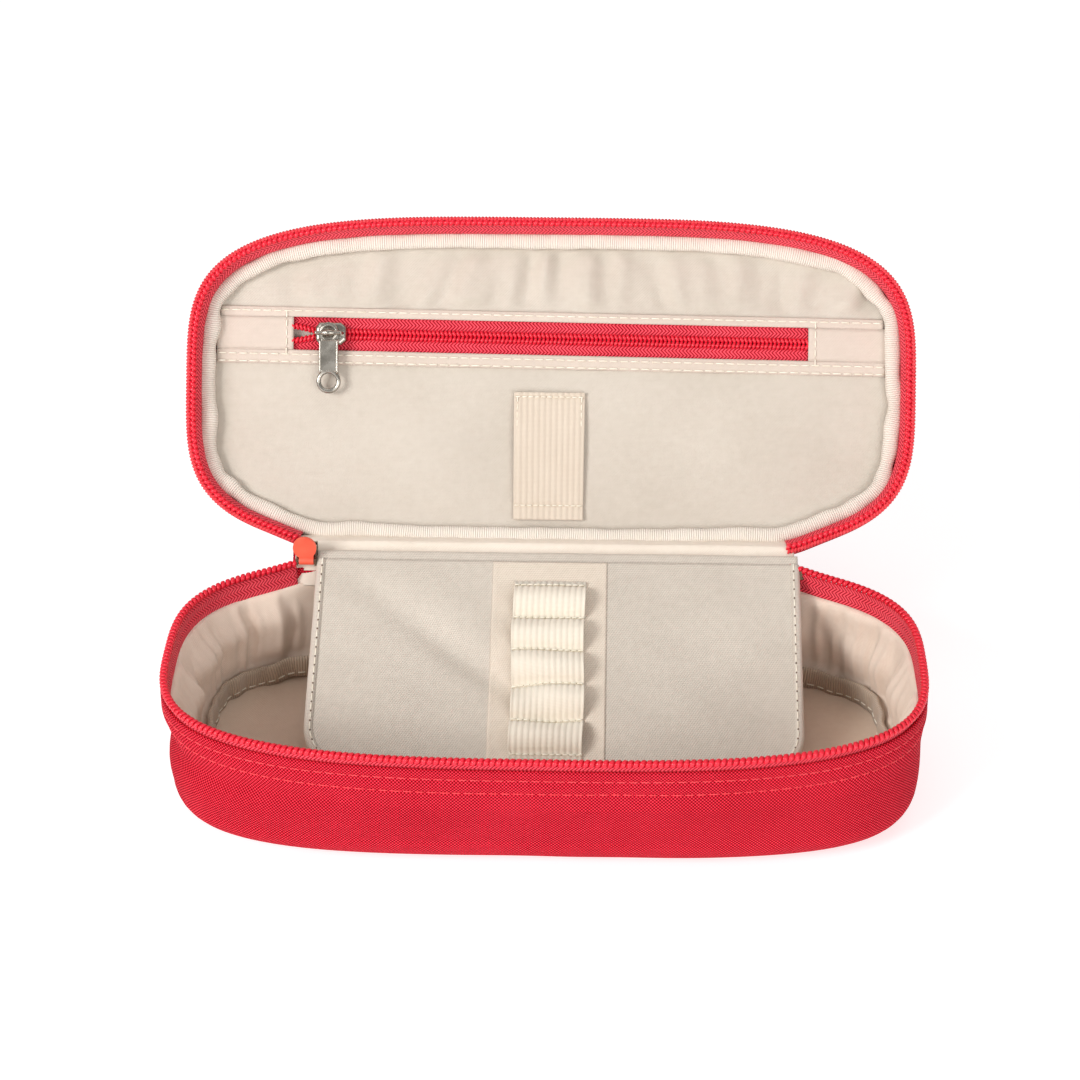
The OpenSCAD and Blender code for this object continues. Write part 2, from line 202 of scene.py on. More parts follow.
def satin_material(name, dark, mid, light, pitch=0.0005, grain=0.25):
    """Thin lining with a fine twill, every pitch, whose threads show by grain."""
    s = Shader(name, linear(*mid), 0.5, Sheen_Weight=0.12, Sheen_Roughness=0.4, Specular_IOR_Level=0.4)
    u, v = s.uv()
    diagonal = s.math("ADD", u, s.math("MULTIPLY", v, 0.6))
    twill = s.math("ABSOLUTE", s.math("SINE", s.math("MULTIPLY", diagonal, math.pi / pitch)))
    weft = s.math("ABSOLUTE", s.math("SINE", s.math("MULTIPLY", v, math.pi / (0.85 * pitch))))
    weave = s.math("ADD", s.math("MULTIPLY", twill, 0.6), s.math("MULTIPLY", weft, 0.4))
    broad = s.noise(22.0, 3.0)
    fine = s.noise(420.0, 2.0)
    tone = s.math(
        "ADD",
        s.math("MULTIPLY", broad, 0.75 - grain),
        s.math("ADD", s.math("MULTIPLY", weave, grain), s.math("MULTIPLY", fine, 0.25)),
    )
    s.tones(tone, [(0.2, dark), (0.52, mid), (0.85, light)])
    s.bump(weave, 0.00014, 0.8)
    return s.material


def ribbed_material(name, pitch, dark, mid, light, axis=0, relief=0.00025):
    """Grosgrain: fine ribs across the ribbon, every pitch along u (axis 0) or v (axis 1)."""
    s = Shader(name, linear(*mid), 0.62, Sheen_Weight=0.25, Sheen_Roughness=0.5)
    along = s.uv()[axis]
    drift = s.math("MULTIPLY", s.noise(300.0, 2.0), pitch * 0.5)
    rib = s.math(
        "ABSOLUTE", s.math("SINE", s.math("MULTIPLY", s.math("ADD", along, drift), math.pi / pitch)),
    )
    tone = s.math(
        "ADD", s.math("MULTIPLY", s.math("POWER", rib, 0.6), 0.6), s.math("MULTIPLY", s.noise(70.0), 0.4),
    )
    s.tones(tone, [(0.1, dark), (0.55, mid), (0.95, light)])
    s.bump(rib, relief, 0.9)
    return s.material


def thread_material():
    s = Shader("cream_thread", linear(246, 240, 224), 0.6)
    s.tones(s.noise(500.0, 2.0, uv=False), [(0.2, (236, 226, 204)), (0.8, (252, 247, 234))])
    s.bump(s.noise(3000.0, 2.0, uv=False), 0.00008, 0.5)
    return s.material


def nickel_material():
    s = Shader("nickel", linear(206, 200, 190), 0.24, Metallic=1.0)
    wear = s.noise(260.0, 4.0, uv=False)
    shades = [(0.25, (150, 144, 134)), (0.6, (182, 176, 166)), (0.9, (204, 198, 190))]
    s.tones(wear, shades)
    rough = s.node("ShaderNodeMapRange", {"Value": wear, "To Min": 0.18, "To Max": 0.34})
    s.put(s.bsdf.inputs["Roughness"], rough.outputs[0])
    s.bump(s.noise(900.0, 3.0, uv=False), 0.00004, 0.4)
    return s.material


def rubber_material():
    s = Shader("orange_rubber", linear(252, 100, 74), 0.5)
    s.tones(s.noise(180.0, 3.0, uv=False), [(0.25, (247, 92, 66)), (0.8, (255, 110, 84))])
    s.bump(s.noise(2200.0, 3.0, uv=False), 0.00006, 0.4)
    return s.material


canvas = canvas_material()
tape = tape_material()
coil = coil_material()
red_thread = red_thread_material()
thread = thread_material()
nickel = nickel_material()
rubber = rubber_material()
lining = satin_material("cream_lining", (222, 198, 178), (241, 221, 203), (248, 232, 216))
# the floor lining is the wall lining's satin made darker: painted shade for the dimmer light down inside the
# tray
shaded_floor_cloth = satin_material("floor_lining", (204, 178, 156), (220, 196, 174), (230, 208, 188))
pocket_cloth = satin_material("pocket_cloth", (190, 178, 162), (209, 198, 184), (221, 211, 198))
pink_cloth = satin_material("pocket_cloth_over_tape", (203, 186, 171), (216, 200, 186), (225, 209, 196))
strip_cloth = satin_material("hinge_strip_cloth", (228, 214, 196), (243, 230, 214), (250, 240, 227))
# dark brown for the needle holes: painted shade in the hollow of each hole
needle_hole_shade = Shader("needle_hole_painted_shade", linear(118, 98, 80), 0.9).material
flap_cloth = satin_material("flap_cloth", (180, 169, 154), (205, 195, 182), (224, 214, 200), 0.0008, 0.42)
band_cloth = satin_material(
    "flap_band_cloth", (200, 186, 168), (222, 208, 191), (236, 224, 208), 0.0008, 0.42,
)
binding = ribbed_material("cream_binding", 0.0007, (214, 200, 184), (236, 224, 209), (246, 237, 225))
seam_tape = ribbed_material("seam_tape", 0.0008, (150, 128, 108), (186, 164, 142), (206, 186, 164))
elastic = ribbed_material(
    "ivory_elastic", 0.0004, (230, 219, 200), (237, 227, 209), (243, 234, 218), axis=1, relief=0.00006
)
strap_elastic = ribbed_material(
    "strap_elastic", 0.0004, (204, 188, 168), (215, 199, 180), (225, 211, 194), axis=1, relief=0.00006
)
hem_cloth = ribbed_material("flap_hem_cloth", 0.0005, (206, 192, 176), (226, 214, 198), (238, 228, 214))


# ---- mesh builders (all in mm) -------------------------------------------------------


def piece(name, verts, faces, uvs, body, material, stands_for=(), closed=True):
    mesh = bpy.data.meshes.new(name)
    mesh.from_pydata((np.asarray(verts) * MM).tolist(), [], np.asarray(faces).tolist())
    if uvs is not None:
        layer = mesh.uv_layers.new(name="UVMap")
        layer.data.foreach_set("uv", np.asarray(uvs, np.float32).ravel())
    mesh.materials.append(material)
    if closed:
        work = bmesh.new()
        work.from_mesh(mesh)
        bmesh.ops.recalc_face_normals(work, faces=work.faces[:])
        work.to_mesh(mesh)
        work.free()
    mesh.polygons.foreach_set("use_smooth", np.ones(len(mesh.polygons), bool))
    mesh.update()
    made = bpy.data.objects.new(name, mesh)
    bpy.context.scene.collection.objects.link(made)
    if body:
        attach(made, body)
    if stands_for:
        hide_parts(*stands_for)
    return made


def grid_faces(nu, nv, wrap, offset=0):
    """Quads of a grid of nu by nv points, and the grid places of their corners for UVs."""
    last = nu if wrap else nu - 1
    i, j = np.meshgrid(np.arange(last), np.arange(nv - 1), indexing="ij")
    corners = [(i, j), (i + 1, j), (i + 1, j + 1), (i, j + 1)]
    faces = np.stack([((a % nu) * nv + b + offset).ravel() for a, b in corners], 1)
    places = np.stack([np.stack([a.ravel(), b.ravel()], 1) for a, b in corners], 1)
    return faces, places


def normals_of(grid, wrap):
    if wrap:
        du = np.roll(grid, -1, 0) - np.roll(grid, 1, 0)
    else:
        du = np.gradient(grid, axis=0)
    dv = np.gradient(grid, axis=1)
    n = np.cross(du, dv)
    return n / np.maximum(np.linalg.norm(n, axis=2, keepdims=True), 1e-9)


def uv_grid(grid, wrap):
    """Lengths along both directions of the grid, in metres."""
    ring = np.concatenate([grid, grid[:1]]) if wrap else grid
    across = np.linalg.norm(np.diff(ring, axis=0), axis=2).mean(axis=1)
    along = np.linalg.norm(np.diff(grid, axis=1), axis=2).mean(axis=0)
    u = np.concatenate([[0], np.cumsum(across)])
    v = np.concatenate([[0], np.cumsum(along)])
    out = np.stack(np.meshgrid(u, v, indexing="ij"), 2)
    return out * MM


def cloth(name, grid, thick, body, material, stands_for=(), wrap=False, uv=None):
    """A closed sheet: the grid is one face, and the other lies thick behind it."""
    grid = np.asarray(grid, float)
    nu, nv = grid.shape[:2]
    back = grid - normals_of(grid, wrap) * np.asarray(thick)
    verts = np.concatenate([grid.reshape(-1, 3), back.reshape(-1, 3)])
    uv = uv_grid(grid, wrap) if uv is None else uv
    front_faces, places = grid_faces(nu, nv, wrap)
    faces = [front_faces, front_faces[:, ::-1] + nu * nv]
    uvs = [uv[places[..., 0], places[..., 1]], uv[places[:, ::-1, 0], places[:, ::-1, 1]]]
    total = nu * nv
    edges = []
    columns = np.arange(nu if wrap else nu - 1)
    for j in (0, nv - 1):
        edges.append(np.stack([columns * nv + j, ((columns + 1) % nu) * nv + j], 1))
    if not wrap:
        rows = np.arange(nv - 1)
        for i in (0, nu - 1):
            edges.append(np.stack([i * nv + rows, i * nv + rows + 1], 1))
    flat_uv = uv[:nu].reshape(-1, 2)
    for e in edges:
        faces.append(np.stack([e[:, 0], e[:, 1], e[:, 1] + total, e[:, 0] + total], 1))
        quad = np.stack([flat_uv[e[:, 0]], flat_uv[e[:, 1]], flat_uv[e[:, 1]], flat_uv[e[:, 0]]], 1)
        uvs.append(quad + np.array([[0, 0], [0, 0], [0.0006, 0.0006], [0.0006, 0.0006]]))
    return piece(name, verts, np.concatenate(faces), np.concatenate(uvs), body, material, stands_for)


def sweep(path, ref, section, closed_path):
    """Carries a closed section [(side, up)] along a path whose up direction is ref."""
    if closed_path:
        tangent = np.roll(path, -1, 0) - np.roll(path, 1, 0)
    else:
        tangent = np.gradient(path, axis=0)
    tangent /= np.linalg.norm(tangent, axis=1, keepdims=True)
    up = ref - (ref * tangent).sum(1, keepdims=True) * tangent
    up /= np.linalg.norm(up, axis=1, keepdims=True)
    side = np.cross(tangent, up)
    section = np.asarray(section, float)
    if section.ndim == 2:
        section = np.broadcast_to(section, (len(path), *section.shape))
    return path[:, None] + section[..., :1] * side[:, None] + section[..., 1:] * up[:, None]


class Tubes:
    """Many thin tubes collected into one mesh."""

    def __init__(self):
        self.verts, self.faces, self.uvs, self.count = [], [], [], 0

    def add(self, path, ref, radius, sides=6, closed=False, flat=1.0):
        path = np.asarray(path, float)
        ref = np.broadcast_to(np.asarray(ref, float), path.shape)
        turn = np.arange(sides) * 2 * math.pi / sides
        ring = np.stack([np.cos(turn), np.sin(turn) * flat], 1)
        radius = np.broadcast_to(np.asarray(radius, float), (len(path),))
        rings = sweep(path, ref, ring[None] * radius[:, None, None], closed)
        n = len(path)
        step = np.linalg.norm(np.diff(path, axis=0), axis=1)
        u = np.concatenate([[0], np.cumsum(step), [step.sum() + step[-1]]]) * MM
        last = n if closed else n - 1
        i, j = np.meshgrid(np.arange(last), np.arange(sides), indexing="ij")
        quad = [(i, j), (i + 1, j), (i + 1, j + 1), (i, j + 1)]
        self.faces.append(
            np.stack([((a % n) * sides + b % sides + self.count).ravel() for a, b in quad], 1)
        )
        self.uvs.append(
            np.stack([np.stack([u[a].ravel(), (b * 0.0004).ravel()], 1) for a, b in quad], 1)
        )
        if not closed:
            for start in (0, (n - 1) * sides):
                for k in range((sides - 2) // 2):
                    cap = np.array([0, 2 * k + 1, 2 * k + 2, 2 * k + 3]) + start + self.count
                    self.faces.append(cap[None])
                    self.uvs.append(np.zeros((1, 4, 2)))
        self.verts.append(rings.reshape(-1, 3))
        self.count += n * sides

    def stitches(self, path, up, length=2.6, gap=0.9, radius=0.24, closed=False):
        """Thread dashes along a path, each one diving into the cloth at its ends."""
        path, up = np.asarray(path, float), np.broadcast_to(np.asarray(up, float), np.shape(path))
        if closed:
            path, up = np.concatenate([path, path[:1]]), np.concatenate([up, up[:1]])
        s = np.concatenate([[0], np.cumsum(np.linalg.norm(np.diff(path, axis=0), axis=1))])
        number = max(1, round((s[-1] + gap) / (length + gap)))
        pitch = (s[-1] + gap) / number
        for k in range(number):
            at = k * pitch + np.array([0, 0.12, 0.5, 0.88, 1]) * (pitch - gap)
            p = np.stack([np.interp(at, s, path[:, c]) for c in range(3)], 1)
            n = np.stack([np.interp(at, s, up[:, c]) for c in range(3)], 1)
            n /= np.linalg.norm(n, axis=1, keepdims=True)
            lift = np.array([-1.1, 0.35, 0.6, 0.35, -1.1])[:, None] * radius
            self.add(p + n * lift, n, radius)

    def piece(self, name, body, material, slot, stands_for=()):
        return piece(
            name, np.concatenate(self.verts), np.concatenate(self.faces), np.concatenate(self.uvs),
            body, material, stands_for,
        )


# ---- outlines ------------------------------------------------------------------------


def polar(phi, a, b, n):
    """Superellipse points and outward normals at polar angles phi."""
    c, s = np.cos(phi), np.sin(phi)
    r = (np.abs(c / a) ** n + np.abs(s / b) ** n) ** (-1 / n)
    p = np.stack([r * c, r * s], -1)
    g = np.stack(
        [
            np.sign(c) * np.abs(p[..., 0] / a) ** (n - 1) / a,
            np.sign(s) * np.abs(p[..., 1] / b) ** (n - 1) / b,
        ], -1
    )
    return p, g / np.linalg.norm(g, axis=-1, keepdims=True)


def even_angles(a, b, n, count):
    """Polar angles spaced evenly along the outline, from the middle of the back leftwards."""
    fine = np.linspace(0.5 * math.pi, 2.5 * math.pi, 20001)
    p, _ = polar(fine, a, b, n)
    s = np.concatenate([[0], np.cumsum(np.linalg.norm(np.diff(p, axis=0), axis=1))])
    return np.interp(np.linspace(0, s[-1], count, endpoint=False), s, fine)


COUNT = 760
PHI = even_angles(114.8, 54.4, 3.1, COUNT)


def rim_z(y):
    return AXIS_Z - (AXIS_Y - y) * RIM_TILT


def tray_at(phi, inset, z):
    """The tray's outline at height z, moved in by inset: (x, y, z) with its outward normal."""
    phi, inset, z = np.broadcast_arrays(
        np.asarray(phi, float), np.asarray(inset, float), np.asarray(z, float)
    )
    f = smooth(z / 34)
    p, n = polar(phi, 113.2 + 1.6 * f, 53.7 + 0.7 * f, 3.8 - 0.7 * f)
    corner = bell(np.abs(p[..., 0]), 74, 10) * (p[..., 1] > 0) * 3.4 * f
    low = smooth((33 - z) / 12)
    lean = 3.0 * low * bell(np.cos(phi), -1, 0.22) - 1.3 * low * bell(np.cos(phi), 1, 0.22)
    x = p[..., 0] + 0.5 * f + lean - inset * n[..., 0]
    y = p[..., 1] + corner - inset * n[..., 1]
    return np.stack([x, y, z], -1), np.concatenate([n, np.zeros_like(n[..., :1])], -1)


MOUTH, _ = tray_at(PHI, 0, 40)
MOUTH_Z = rim_z(MOUTH[:, 1])


def below(drop):
    return MOUTH_Z - drop


LID_HALF_WIDE, LID_HALF_DEEP, LID_SQUARE = 116.2, 53.5, 3.75  # the lid's outline, a superellipse
LID_MIDDLE = 52.6  # from the hinge up to the middle of the lid


def lid_xv(phi, inset):
    """The lid's outline in its own plane, moved in by inset: x, v and the normal's x, v."""
    phi, inset = np.broadcast_arrays(np.asarray(phi, float), np.asarray(inset, float))
    p, n = polar(phi, LID_HALF_WIDE, LID_HALF_DEEP, LID_SQUARE)
    corner = bell(np.abs(p[..., 0]), 76, 10) * (p[..., 1] < 0) * -1.8
    return 0.2 + p[..., 0] - inset * n[..., 0], LID_MIDDLE + p[..., 1] + corner - inset * n[..., 1], n


def to_world(x, v, w):
    """From the open lid's plane (x, v up from the hinge, w behind the rim) to the row frame."""
    x, v, w = np.broadcast_arrays(*(np.asarray(t, float) for t in (x, v, w)))
    c, s = 0.5, math.sqrt(0.75)
    return np.stack([x, AXIS_Y + c * (v + 0.5) + s * w, AXIS_Z + s * (v + 0.5) - c * w], -1)


LID_OUT = np.array([0, math.sqrt(0.75), -0.5])  # the direction behind the rim plane
LID_PHI = even_angles(LID_HALF_WIDE, LID_HALF_DEEP, LID_SQUARE, COUNT)


def lid_at(phi, inset, w):
    x, v, _ = lid_xv(phi, inset)
    return to_world(x, v, w)


def flap_at(x, s, h):
    """From the flap (x, s down from its hinge, h over its middle) to the row frame."""
    x, s, h = np.broadcast_arrays(*(np.asarray(t, float) for t in (x, s, h)))
    a = math.radians(28)
    return np.stack(
        [3.5 + x, 50.6 - s * math.cos(a) - h * math.sin(a), 42.2 - s * math.sin(a) + h * math.cos(a)], -1
    )


FLAP_UP = np.array([0, -math.sin(math.radians(28)), math.cos(math.radians(28))])


def in_zip(x, back):
    """True for the stretch of an outline that carries the main zip."""
    return ~(back & (x > ZIP_LEFT) & (x < ZIP_RIGHT))


def zip_order(mask):
    """Indices of the zip's stretch in order, from its left end round the front."""
    index = np.flatnonzero(mask)
    gaps = np.flatnonzero(np.diff(index) > 1)
    return np.concatenate([index[gaps[0] + 1:], index[: gaps[0] + 1]]) if len(gaps) else index


TRAY_ZIP = zip_order(in_zip(MOUTH[:, 0], MOUTH[:, 1] > 0))
_lx, _lv, _ = lid_xv(LID_PHI, 0)
LID_ZIP = zip_order(in_zip(_lx, _lv < 52))


# ---- tray ----------------------------------------------------------------------------


def wall_shape(phi, drop, z):
    """How far the canvas stands out from its outline: belly, crease and pulled-in stitching."""
    belly = 1.0 * bell(z, 13, 9)
    left = bell(np.cos(phi), -1, 0.35)
    crease = left * (-1.0 * bell(z, 22, 2.2) + 0.9 * bell(z, 15, 5))
    pulled = -0.25 * (bell(drop, 6.8, 0.7) + bell(drop, 11.2, 0.7))
    puff = 0.18 * bell(drop, 9, 1.2)
    x, y = 115 * np.cos(phi), 54 * np.sin(phi)
    dents = 0.35 * ripple(x + y, z * 1.5, 3, 60) * smooth((drop - 6) / 8)
    return belly + crease + pulled + puff + dents


def tray_wall():
    """Outer canvas band: a folded top edge, the wall and the soft turn under the floor."""
    rows, insets = [], []
    for drop, inset in ((7.0, 1.5), (4.6, 1.4), (3.9, 1.2), (3.6, 0.75), (3.7, 0.3), (4.1, 0.05)):
        rows.append(below(drop))
        insets.append(np.full(COUNT, inset))
    for drop in np.concatenate([np.arange(4.7, 13, 0.55), np.arange(13.2, 17, 0.9)]):
        rows.append(below(drop))
        insets.append(-wall_shape(PHI, drop, rows[-1]))
    top = rows[-1]
    edge = 10.0
    for q in np.linspace(0, 1, 9)[1:]:
        z = top + (edge - top) * q
        rows.append(z)
        insets.append(-wall_shape(PHI, MOUTH_Z - z, z))
    base = insets[-1]
    for turn in np.radians(np.arange(9, 91, 9)):
        z = edge * (1 - math.sin(turn))
        rows.append(np.full(COUNT, z))
        insets.append(base * math.cos(turn) + 9.5 * (1 - math.cos(turn)))
    z = np.stack(rows, 1)
    inset = np.stack(insets, 1)
    points, _ = tray_at(PHI[:, None], inset, z)
    made = cloth(
        "tray_canvas_wall", points[:, ::-1], 0.9, "tray", canvas,
        ("base_side_band", "base_side_foam"), wrap=True,
    )
    seams = Tubes()
    for drop in (6.8, 11.2):
        line, n = tray_at(PHI, -wall_shape(PHI, drop, below(drop)), below(drop))
        front = TRAY_ZIP
        seams.stitches(line[front], n[front], 2.7, 0.8, 0.2)
    stitched = seams.piece("tray_topstitching", "tray", red_thread, "thread")
    return made, stitched


def tray_floor_pieces():
    ring, _ = tray_at(PHI, 9.2, 0.0)
    shares = np.concatenate([np.linspace(1, 0.9, 5), np.linspace(0.87, 0.004, 22)])
    grid = ring[:, None] * shares[None, :, None]
    rim = 1 - smooth((1 - shares) / 0.05)
    swell = ripple(grid[..., 0], grid[..., 1], 5, 70)
    grid[..., 2] = 0.25 + 0.25 * swell * smooth((1 - shares) / 0.1) - 0.2 * rim
    uv = np.concatenate([grid, grid[:1]])[..., :2] * MM
    bottom = cloth(
        "tray_canvas_bottom", grid[:, ::-1], 0.8, "tray", canvas,
        ("base_bottom_panel", "base_bottom_foam"), wrap=True, uv=uv[:, ::-1],
    )

    ring, _ = tray_at(PHI, 6.4, 5.0)
    shares = np.concatenate([np.linspace(1, 0.93, 5), np.linspace(0.9, 0.004, 26)])
    grid = ring[:, None] * shares[None, :, None]
    wave = ripple(grid[..., 0], grid[..., 1], 6, 95)
    grid[..., 2] = 3.6 + 0.25 * wave * smooth((1 - shares) / 0.12) + 0.9 * (1 - smooth((1 - shares) / 0.04))
    uv = np.concatenate([grid, grid[:1]])[..., :2] * MM
    # its darker satin is painted shade for the floor deep inside the tray
    inner = cloth(
        "tray_floor_lining", grid, 0.6, "tray", shaded_floor_cloth, ("base_floor_lining",),
        wrap=True, uv=uv,
    )

    mid, n = tray_at(PHI, 7.6, 5.5)
    arc = np.arange(COUNT) / COUNT * 585
    wave = 1.0 * ripple(arc, arc * 0, 8, 45) + 0.6 * ripple(arc, arc * 0, 9, 15)
    mid = mid - n * wave[:, None]
    mid[:, 2] = 7.4 + 0.9 * ripple(arc, arc * 0, 10, 40)
    half_t, half_h = 0.95, 3.4
    section = [
        (half_t, -half_h), (half_t, -1.5), (half_t * 1.2, 0), (half_t, 1.8), (half_t * 0.9, half_h - 0.5),
        (0.3, half_h),
        (-0.3, half_h), (-half_t * 0.9, half_h - 0.5), (-half_t, 1.8), (-half_t * 1.2, 0), (-half_t, -1.5),
        (-half_t, -half_h),
    ]
    rings = sweep(mid, np.tile([0, 0, 1.0], (COUNT, 1)), section, True)
    made = ring_piece("tray_seam_binding", rings, "tray", seam_tape, ("base_seam_binding",))
    stitched = Tubes()
    lower = mid - n * 0.9
    lower[:, 2] -= 1.9
    stitched.stitches(lower, -n, 2.4, 1.0, 0.2, closed=True)
    stitched.piece("tray_binding_stitches", "tray", thread, "thread")
    return bottom, inner, made


def ring_piece(name, rings, body, material, stands_for=(), closed_path=True):
    """A swept closed section as one mesh, with lengths as UVs."""
    n, m = rings.shape[:2]
    last = n if closed_path else n - 1
    i, j = np.meshgrid(np.arange(last), np.arange(m), indexing="ij")
    quad = [(i, j), (i + 1, j), (i + 1, j + 1), (i, j + 1)]
    faces = [np.stack([((a % n) * m + b % m).ravel() for a, b in quad], 1)]
    middle = rings.mean(1)
    if closed_path:
        middle = np.concatenate([middle, middle[:1]])
    u = np.concatenate([[0], np.cumsum(np.linalg.norm(np.diff(middle, axis=0), axis=1))]) * MM
    loop = np.concatenate([rings[0], rings[0][:1]])
    v = np.concatenate([[0], np.cumsum(np.linalg.norm(np.diff(loop, axis=0), axis=1))]) * MM
    uvs = [np.stack([np.stack([u[a].ravel(), v[b].ravel()], 1) for a, b in quad], 1)]
    if not closed_path:
        for start in (0, (n - 1) * m):
            for k in range((m - 2) // 2):
                faces.append(np.array([[0, 2 * k + 1, 2 * k + 2, 2 * k + 3]]) + start)
                uvs.append(np.zeros((1, 4, 2)))
    return piece(
        name, rings.reshape(-1, 3), np.concatenate(faces), np.concatenate(uvs), body, material,
        stands_for,
    )


def tray_lining():
    """Satin lining of the wall, gathered in soft radial folds at the two ends."""
    arc = np.arange(COUNT) / COUNT * 585
    ends = smooth((np.abs(MOUTH[:, 0]) - 62) / 30)
    fold = ripple(arc, arc * 0, 12, 15) + 0.7 * ripple(arc, arc * 0, 13, 7)
    top, foot = below(8.0), 6.0
    shares = np.linspace(0, 1, 26)
    z = top[:, None] + (foot - top)[:, None] * shares
    lean = ripple(arc[:, None] * 0.5, shares[None] * 60, 14, 40)
    body = np.sin(math.pi * np.clip(shares * 1.02, 0, 1)) ** 0.7
    gathers = np.clip(fold[:, None] + 0.7 * lean + 0.3, -0.5, 1.7)
    inset = 3.5 + 0.9 * body + (0.4 + 1.7 * ends[:, None]) * gathers * body
    inset = inset + 2.6 * smooth((shares - 0.8) / 0.2) - 0.9 * bell(shares, 0, 0.04)
    points, _ = tray_at(PHI[:, None], inset, z)
    made = cloth(
        "tray_wall_lining", points, 0.6, "tray", lining, ("base_side_lining",), wrap=True
    )
    return made


def tray_zip():
    index = TRAY_ZIP
    drops = np.linspace(2.1, 10, 12)
    z = MOUTH_Z[index, None] - drops
    inset = 1.9 + 0.9 * smooth((drops - 2) / 8) + 0.1 * ripple(index[:, None] * 0.8, drops, 15, 40)
    points, _ = tray_at(PHI[index, None], inset, z)
    strip = cloth("tray_zip_tape", points, 0.7, "tray", tape, ("base_zip_tape",))
    teeth = Tubes()
    axis, n = tray_at(PHI[index], 1.2, MOUTH_Z[index] - 1.1)
    teeth_on(teeth, axis, n, np.array([0, 0, 1.0]), 1.78)
    teeth.add(tray_at(PHI[index], 1.2, MOUTH_Z[index] - 1.2)[0], [0, 0, 1], 0.6)
    made = teeth.piece("tray_zip_coil", "tray", coil, "zip_coil", ("base_zip_coil",))
    return strip, made


def teeth_on(tubes, axis, out, up, pitch, radius=0.8, wire=0.72, steps=14):
    """A spiral of stiff coil along an axis line, flattened a little on its outer side."""
    s = np.concatenate([[0], np.cumsum(np.linalg.norm(np.diff(axis, axis=0), axis=1))])
    turns = round(s[-1] / pitch)
    t = np.linspace(0, 1, turns * steps + 1)
    at = t * s[-1]
    p = np.stack([np.interp(at, s, axis[:, c]) for c in range(3)], 1)
    n = np.stack([np.interp(at, s, out[:, c]) for c in range(3)], 1)
    n /= np.linalg.norm(n, axis=1, keepdims=True)
    angle = 2 * math.pi * turns * t
    bulge = radius * (1 + 0.1 * np.cos(2 * angle))
    up = np.broadcast_to(up, n.shape)
    around = np.cos(angle)[:, None] * n + np.sin(angle)[:, None] * up
    tubes.add(p + around * bulge[:, None], around, wire, sides=8, flat=0.6)


tray_cloth, _ = tray_wall()
tray_floor_pieces()
tray_tape, _ = tray_zip()
tray_lining()


# ---- lid -----------------------------------------------------------------------------


def lid_shell():
    depths, insets = [], []
    for w, inset in ((6.5, 1.6), (4.4, 1.5), (3.9, 1.2), (3.6, 0.7), (3.7, 0.25), (4.1, 0.0)):
        depths.append(w)
        insets.append(inset)
    for w in np.linspace(4.8, 11, 9):
        depths.append(w)
        insets.append(-0.5 * float(bell(w, 9, 3)) + 0.2 * float(bell(w, 6.8, 0.7)))
    for turn in np.radians(np.arange(9, 91, 9)):
        depths.append(11 + 9 * math.sin(turn))
        insets.append(9 * (1 - math.cos(turn)))
    w = np.array(depths)[None]
    inset = np.array(insets)[None] - 0.25 * ripple(np.arange(COUNT)[:, None] * 0.77, w * 2, 21, 55)
    grid = lid_at(LID_PHI[:, None], inset, w)
    wall = cloth(
        "lid_canvas_wall", grid[:, ::-1], 0.9, "lid", canvas,
        ("lid_side_band", "lid_side_foam", "lid_side_lining"),
        wrap=True,
    )
    x, v, _ = lid_xv(LID_PHI, 8.8)
    shares = np.concatenate([np.linspace(1, 0.93, 4), np.linspace(0.9, 0.004, 24)])
    gx, gv = x[:, None] * shares, LID_MIDDLE + (v[:, None] - LID_MIDDLE) * shares
    within = 1 - shares
    gw = 19.9 + 0.3 * ripple(gx, gv, 22, 80) * smooth(within / 0.15) + 0.15 * smooth(within / 0.04)
    uv = np.stack([np.concatenate([gx, gx[:1]]), np.concatenate([gv, gv[:1]])], 2) * MM
    top = cloth(
        "lid_canvas_top", to_world(gx, gv, gw)[:, ::-1], 0.8, "lid", canvas,
        ("lid_top_panel", "lid_top_foam", "lid_top_lining"), wrap=True, uv=uv[:, ::-1],
    )
    seams = Tubes()
    line = lid_at(LID_PHI, 0.15, 6.8)
    x, v, n = lid_xv(LID_PHI, 0)
    out = to_world(n[:, 0], n[:, 1], 0) - to_world(0, 0, 0)
    seams.stitches(line[LID_ZIP], out[LID_ZIP], 2.7, 0.8, 0.2)
    ring = lid_at(LID_PHI, 8.0, 19.95)
    seams.stitches(ring, np.tile(LID_OUT, (COUNT, 1)), 2.7, 0.8, 0.2, closed=True)
    seams.piece("lid_topstitching", "lid", red_thread, "thread")
    return wall, top


def lid_zip():
    index = LID_ZIP
    phi = LID_PHI[index]
    depth = np.linspace(1.2, 8.0, 10)
    inset = 1.6 + 2.1 * smooth((depth - 1.5) / 4)
    grid = lid_at(phi[:, None], inset, depth[None])
    strip = cloth("lid_zip_tape", grid[:, ::-1], 0.6, "lid", tape, ("lid_zip_tape",))
    _, _, n = lid_xv(phi, 0)
    out = to_world(n[:, 0], n[:, 1], 0) - to_world(0, 0, 0)
    front = smooth(np.sin(phi) / 0.8)  # the front edge closes lower and further out
    row = lid_at(phi, 2.3 - 0.9 * front, 1.2 - 0.7 * front)
    teeth = Tubes()
    teeth_on(teeth, row, out, -LID_OUT, 1.78, 0.7, 0.66)
    teeth.add(row, -LID_OUT, 0.6)
    coil_piece = teeth.piece("lid_zip_coil", "lid", coil, "zip_coil", ("lid_zip_coil",))
    edge = lid_at(phi, 0.75 - 0.5 * front, 1.3 - 0.7 * front)
    braid = Tubes()
    teeth_on(braid, edge, out, -LID_OUT, 1.1, 0.55, 0.4, 10)
    braid.add(edge, -LID_OUT, 0.5)
    braid.piece("lid_zip_braid", "lid", red_thread, "zip_tape")
    return strip, coil_piece


